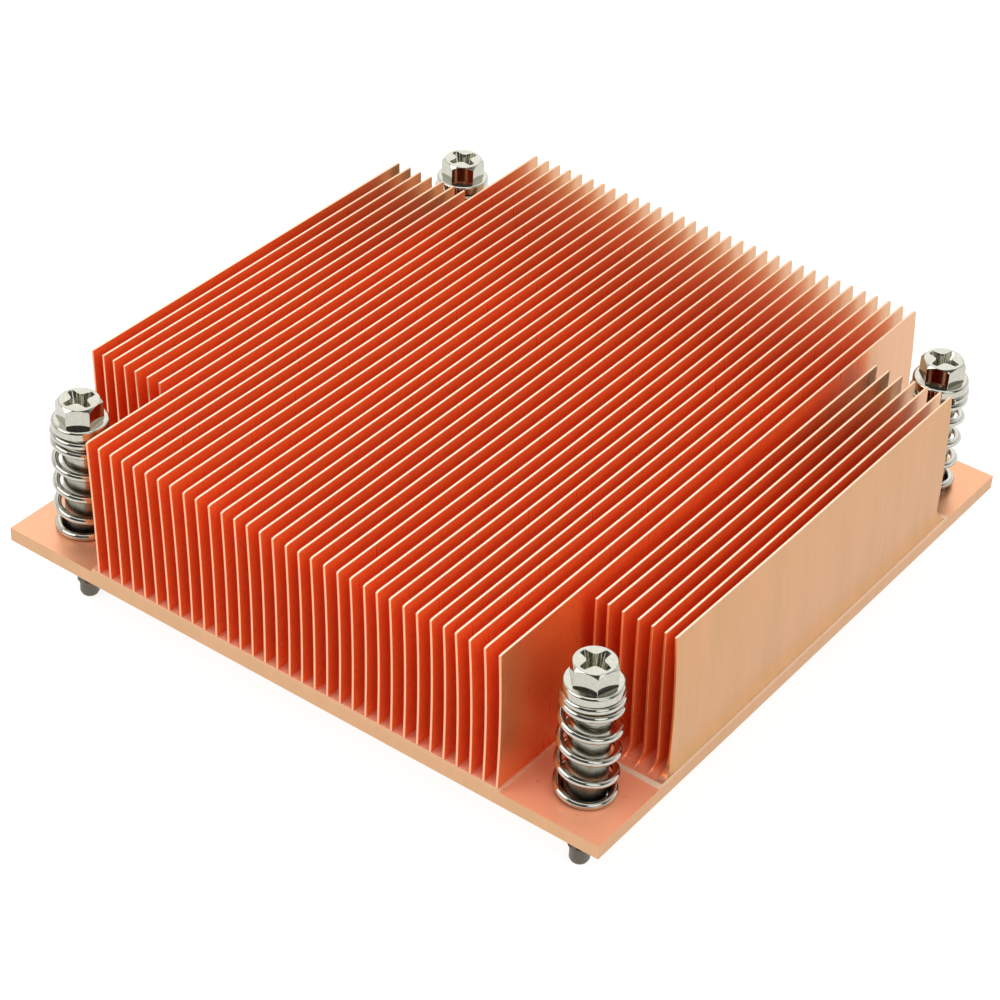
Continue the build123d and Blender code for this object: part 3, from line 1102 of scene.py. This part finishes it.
stage = {
    "floorSize": 3.0,
    "floorSeen": 0.86,
    "floorGlow": 0.32,
    "floorColour": (0.25, 0.25, 0.25, 1),
    "roomSeen": 1.0,
    "roomLight": 0.88,
    "roomBright": 1.48,
    "roomDark": 0.08,
    # the dark stretch of the room: the way to it, and where it begins and ends in height and breadth
    "darkWay": (0.57, -0.82),
    "darkFoot": (0.02, 0.08),
    "darkTop": (0.88, 0.96),
    "darkBreadth": (-0.4, 0.3),
    "darkBehind": 0.35,
    "key": {"place": (-0.36, -0.48, 0.53), "size": 0.6, "power": 2.0},
    "fill": {"place": (0.6, -0.2, 0.45), "size": 0.5, "power": 0.9},
    "rear": {"place": (-0.36, 0.53, 0.48), "size": 0.8, "power": 0.7},
}

view = {
    "azimuth": radians(34.58),
    "elevation": radians(37.08),
    "roll": radians(3.27),
    "distance": 0.3515,
    "lens": 100.75,
    "sensor": 36,
    "shiftX": -0.0136,
    "shiftY": 0.0133,
}


def seenPlainly(tree):
    # 1 for rays from the camera, and those that a mirror or a glass sends on
    paths = addNode(tree, "ShaderNodeLightPath")
    plain = calculated(tree, "MAXIMUM", paths.outputs["Is Camera Ray"], paths.outputs["Is Glossy Ray"])
    return calculated(tree, "MAXIMUM", plain, paths.outputs["Is Transmission Ray"])


def setStage():
    bm = bmesh.new()
    bmesh.ops.create_grid(bm, x_segments=1, y_segments=1, size=stage["floorSize"] / 2)
    bmesh.ops.translate(bm, vec=(0, 0, cadBounds[0][2]), verts=bm.verts)
    floor = newPiece(bm, "floor")
    material, tree, surface = newMaterial("pale_floor")
    tree.nodes.remove(surface)
    plain = seenPlainly(tree)
    glow = addNode(tree, "ShaderNodeEmission", {
        "Color": (1, 1, 1, 1), "Strength": mapped(tree, plain, stage["floorGlow"], stage["floorSeen"])})
    matt = addNode(tree, "ShaderNodeBsdfDiffuse", {"Color": stage["floorColour"]})
    both = addNode(tree, "ShaderNodeAddShader", {0: glow.outputs[0], 1: matt.outputs[0]})
    tree.links.new(both.outputs[0], tree.nodes["Material Output"].inputs["Surface"])
    dress(floor, material)

    world = bpy.data.worlds.new("studio")
    bpy.context.scene.world = world
    world.use_nodes = True
    tree = world.node_tree
    background = tree.nodes["Background"]
    paths = addNode(tree, "ShaderNodeLightPath")
    directions = addNode(tree, "ShaderNodeTexCoord").outputs["Generated"]
    ways = addNode(tree, "ShaderNodeSeparateXYZ", {0: directions})
    height = ways.outputs["Z"]
    # a dark stretch of room behind the camera, between the table and the soft light overhead
    darkX, darkY = stage["darkWay"]
    frontward = calculated(tree, "ADD", calculated(tree, "MULTIPLY", ways.outputs["X"], darkX),
                           calculated(tree, "MULTIPLY", ways.outputs["Y"], darkY))
    above = mapped(tree, height, 0, 1, *stage["darkFoot"])
    below = mapped(tree, height, 1, 0, *stage["darkTop"])
    dark = calculated(tree, "MULTIPLY", calculated(tree, "MULTIPLY", above, below),
                      mapped(tree, frontward, stage["darkBehind"], 1, *stage["darkBreadth"]))
    mirrored = mapped(tree, dark, stage["roomBright"], stage["roomDark"])
    strength = addNode(tree, "ShaderNodeMix", {
        0: paths.outputs["Is Glossy Ray"],
        2: mapped(tree, seenPlainly(tree), stage["roomLight"], stage["roomSeen"]),
        3: mirrored}, data_type="FLOAT")
    tree.links.new(strength.outputs[0], background.inputs["Strength"])
    background.inputs["Color"].default_value = (1, 1, 1, 1)

    for name in ("key", "fill", "rear"):
        values = stage[name]
        data = bpy.data.lights.new(name, "AREA")
        data.shape = "DISK"
        data.size = values["size"]
        data.energy = values["power"]
        lamp = bpy.data.objects.new(name, data)
        lamp.visible_camera = False
        lamp.location = values["place"]
        lamp.rotation_euler = (-Vector(values["place"])).to_track_quat("-Z", "Y").to_euler()
        bpy.context.scene.collection.objects.link(lamp)


def setCamera():
    azimuth, elevation = view["azimuth"], view["elevation"]
    back = Vector((sin(azimuth) * cos(elevation), -cos(azimuth) * cos(elevation), sin(elevation)))
    turn = (-back).to_track_quat("-Z", "Y") @ Quaternion((0, 0, 1), view["roll"])
    data = bpy.data.cameras.new("camera")
    data.sensor_width = view["sensor"]
    data.lens = view["lens"]
    data.shift_x = view["shiftX"]
    data.shift_y = view["shiftY"]
    data.clip_start = 0.01
    camera = bpy.data.objects.new("camera", data)
    camera.location = back * view["distance"]
    camera.rotation_euler = turn.to_euler()
    bpy.context.scene.collection.objects.link(camera)
    bpy.context.scene.camera = camera


setStage()
setCamera()
print("stage and camera set")

grain = grainGroup()
bodyPiece = makeBody()
dress(bodyPiece, copperMaterial(grain, shadeGroup()))
print("copper body made,", len(bodyPiece.data.polygons), "faces")

wireFinish = nickelMaterial("spring_wire", grain, nickel["wire"], nickel["wireRoughness"])
screwFinish = nickelMaterial("screw_nickel", grain, nickel["screw"], nickel["screwRoughness"], shadedDulled=True)
masterScrew = makeScrew()
for corner in corners:
    coil = makeSpring(corner)
    dress(coil, wireFinish)
    placed = placeScrew(masterScrew, corner)
    dress(placed, screwFinish)
bpy.data.objects.remove(masterScrew)
print("springs and screws made")

clipFinish = nickelMaterial("clip_steel", grain, nickel["clip"], nickel["clipRoughness"])
for corner in corners:
    dress(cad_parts[f"retaining_clip_{corner}"], clipFinish)

scene = bpy.context.scene
scene.view_settings.view_transform = "Standard"
scene.cycles.max_bounces = 14
scene.cycles.glossy_bounces = 14
scene.cycles.diffuse_bounces = 8
